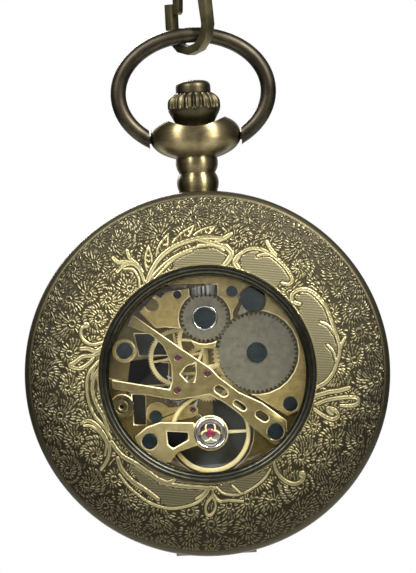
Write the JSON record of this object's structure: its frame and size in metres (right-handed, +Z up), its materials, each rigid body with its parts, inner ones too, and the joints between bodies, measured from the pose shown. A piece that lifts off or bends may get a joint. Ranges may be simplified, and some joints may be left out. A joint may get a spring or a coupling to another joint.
{
  "type": "pocket watch",
  "caption": "Hand-wound skeleton pocket watch in an engraved antique-bronze half-hunter case, hanging by its bow from a snap hook.",
  "frame": {"origin": "the top of the hole in the snap hook's eye, where the chain carries the watch", "axes": "+Z up along the winding stem, -Y out of the engraved back with its window, +X to the right seen from the back"},
  "size_m": [0.047, 0.0138, 0.0806],
  "materials": {
    "antique_bronze": "engraved, dark in the recesses, rubbed bright on the ridges",
    "dark_bronze": "dark bronze plate, satin",
    "brass_plate": "brushed brass",
    "gilt_brass": "polished gilt brass",
    "grey_steel": "satin grey steel",
    "blued_steel": "polished, heat blued",
    "bright_steel": "polished",
    "ruby": "polished synthetic ruby",
    "clear_glass": "clear mineral glass",
    "dial_enamel": "black enamel with cream printed numerals"
  },
  "bodies": {
    "clasp": {"clasp_hook": "dark_bronze"},
    "gate": {"clasp_gate": "dark_bronze"},
    "bow": {"bow": "dark_bronze"},
    "case": {"case_band": "antique_bronze", "pendant": "antique_bronze", "back_cover": "antique_bronze", "back_window_ring": "dark_bronze", "back_glass": "clear_glass", "front_bezel": "antique_bronze", "front_glass": "clear_glass", "movement_holder": "brass_plate", "dial": "dial_enamel", "main_plate": "brass_plate", "barrel_bridge": "brass_plate", "train_bridge": "brass_plate", "balance_cock": "gilt_brass", "pallet_bridge": "brass_plate", "plate_screw": "blued_steel", "train_bridge_screw": "blued_steel", "barrel_bridge_screw": "blued_steel", "cock_screw": "blued_steel", "pallet_screw": "blued_steel", "centre_jewel": "ruby", "fourth_jewel": "ruby", "escape_jewel": "ruby", "pallet_jewel": "ruby", "shock_setting": "bright_steel", "crown_wheel_screw": "blued_steel", "click_screw": "blued_steel", "click_spring": "grey_steel", "click_spring_screw": "blued_steel"},
    "sleeve": {"stem_sleeve": "grey_steel"},
    "crown": {"crown": "antique_bronze", "winding_stem": "grey_steel"},
    "button": {"release_button": "antique_bronze"},
    "latch": {"lid_latch": "grey_steel"},
    "lid": {"lid_cover": "antique_bronze", "lid_window_ring": "dark_bronze", "lid_glass": "clear_glass", "hinge_pin": "antique_bronze"},
    "winding_pinion": {"winding_pinion": "bright_steel"},
    "crown_wheel": {"crown_wheel": "grey_steel"},
    "ratchet": {"ratchet_wheel": "grey_steel", "ratchet_screw": "blued_steel", "barrel_arbor": "grey_steel"},
    "click": {"click": "grey_steel"},
    "barrel": {"barrel": "gilt_brass", "mainspring": "grey_steel"},
    "centre": {"centre_wheel": "gilt_brass", "cannon_pinion": "grey_steel", "minute_hand": "gilt_brass"},
    "third": {"third_wheel": "gilt_brass"},
    "fourth": {"fourth_wheel": "gilt_brass"},
    "escape": {"escape_wheel": "grey_steel"},
    "minute_wheel": {"minute_wheel": "gilt_brass"},
    "hour": {"hour_wheel": "gilt_brass", "hour_hand": "gilt_brass"},
    "pallet": {"pallet_fork": "grey_steel"},
    "balance": {"balance_wheel": "gilt_brass", "hairspring": "grey_steel"}
  },
  "joints": [
    {"name": "bow_swing", "type": "hinge", "parent": "clasp", "child": "bow", "pos_m": [0, 0, -0.0124], "axis": [1, 0, 0], "range_deg": [-20, 20]},
    {"name": "case_swing", "type": "hinge", "parent": "bow", "child": "case", "pos_m": [0, 0, -0.0257], "axis": [1, 0, 0], "range_deg": [-100, 100]},
    {"name": "gate_swing", "type": "hinge", "parent": "clasp", "child": "gate", "pos_m": [-0.00134, 0.00134, -0.0044], "axis": [-0.7071, -0.7071, 0], "range_deg": [0, 25], "stiffness_Nm_per_rad": 0.004, "springref_deg": -17.19},
    {"name": "sleeve_pull", "type": "slide", "parent": "case", "child": "sleeve", "axis": [0, 0, 1], "range_m": [0, 0.001]},
    {"name": "crown_turn", "type": "hinge", "parent": "sleeve", "child": "crown", "pos_m": [0, 0, -0.0211], "axis": [0, 0, 1], "continuous": true},
    {"name": "button_press", "type": "slide", "parent": "crown", "child": "button", "axis": [0, 0, -1], "range_m": [0, 0.0008], "stiffness_N_per_m": 300, "springref_m": -0.0004},
    {"name": "latch_slide", "type": "slide", "parent": "case", "child": "latch", "axis": [0, 0, -1], "range_m": [0, 0.0008]},
    {"name": "lid_open", "type": "hinge", "parent": "case", "child": "lid", "pos_m": [0, 0.00245, -0.0791], "axis": [-1, 0, 0], "range_deg": [0, 100]},
    {"name": "winding_pinion_turn", "type": "hinge", "parent": "case", "child": "winding_pinion", "pos_m": [0, 0, -0.0454], "axis": [0, 0, 1], "continuous": true},
    {"name": "crown_wheel_turn", "type": "hinge", "parent": "case", "child": "crown_wheel", "pos_m": [0, -0.0017, -0.04895], "axis": [0, -1, 0], "continuous": true},
    {"name": "ratchet_turn", "type": "hinge", "parent": "case", "child": "ratchet", "pos_m": [0.00648, -0.0017, -0.05374], "axis": [0, -1, 0], "continuous": true},
    {"name": "click_rock", "type": "hinge", "parent": "case", "child": "click", "pos_m": [0.00625, -0.0017, -0.04694], "axis": [0, 1, 0], "range_deg": [0, 8], "stiffness_Nm_per_rad": 0.0001, "springref_deg": -11.46},
    {"name": "centre_turn", "type": "hinge", "parent": "case", "child": "centre", "pos_m": [0, 0, -0.0561], "axis": [0, -1, 0], "continuous": true},
    {"name": "barrel_turn", "type": "hinge", "parent": "case", "child": "barrel", "pos_m": [0.00648, 0, -0.05374], "axis": [0, -1, 0], "continuous": true},
    {"name": "third_turn", "type": "hinge", "parent": "case", "child": "third", "pos_m": [0, 0, -0.0519], "axis": [0, -1, 0], "continuous": true},
    {"name": "fourth_turn", "type": "hinge", "parent": "case", "child": "fourth", "pos_m": [-0.0037, 0, -0.0539], "axis": [0, -1, 0], "continuous": true},
    {"name": "escape_turn", "type": "hinge", "parent": "case", "child": "escape", "pos_m": [-0.00399, 0, -0.05809], "axis": [0, -1, 0], "continuous": true},
    {"name": "minute_wheel_turn", "type": "hinge", "parent": "case", "child": "minute_wheel", "pos_m": [0.002, 0.0025, -0.05264], "axis": [0, -1, 0], "continuous": true},
    {"name": "hour_turn", "type": "hinge", "parent": "case", "child": "hour", "pos_m": [0, 0.003, -0.0561], "axis": [0, -1, 0], "continuous": true},
    {"name": "pallet_rock", "type": "hinge", "parent": "case", "child": "pallet", "pos_m": [-0.00214, 0.0005, -0.06075], "axis": [0, -1, 0], "range_deg": [-5, 5]},
    {"name": "balance_swing", "type": "hinge", "parent": "case", "child": "balance", "pos_m": [0, -0.0007, -0.06378], "axis": [0, -1, 0], "range_deg": [-270, 270], "stiffness_Nm_per_rad": 0.00000056}
  ],
  "couplings": [
    {"joint": "latch_slide", "follows": "button_press", "ratio": 1},
    {"joint": "winding_pinion_turn", "follows": "crown_turn", "ratio": 1},
    {"joint": "crown_wheel_turn", "follows": "crown_turn", "ratio": -0.5},
    {"joint": "ratchet_turn", "follows": "crown_turn", "ratio": 0.2963},
    {"joint": "barrel_turn", "follows": "centre_turn", "ratio": -0.2},
    {"joint": "third_turn", "follows": "centre_turn", "ratio": -7.5},
    {"joint": "fourth_turn", "follows": "centre_turn", "ratio": 60},
    {"joint": "escape_turn", "follows": "centre_turn", "ratio": -600},
    {"joint": "minute_wheel_turn", "follows": "centre_turn", "ratio": -0.33333},
    {"joint": "hour_turn", "follows": "centre_turn", "ratio": 0.083333}
  ]
}
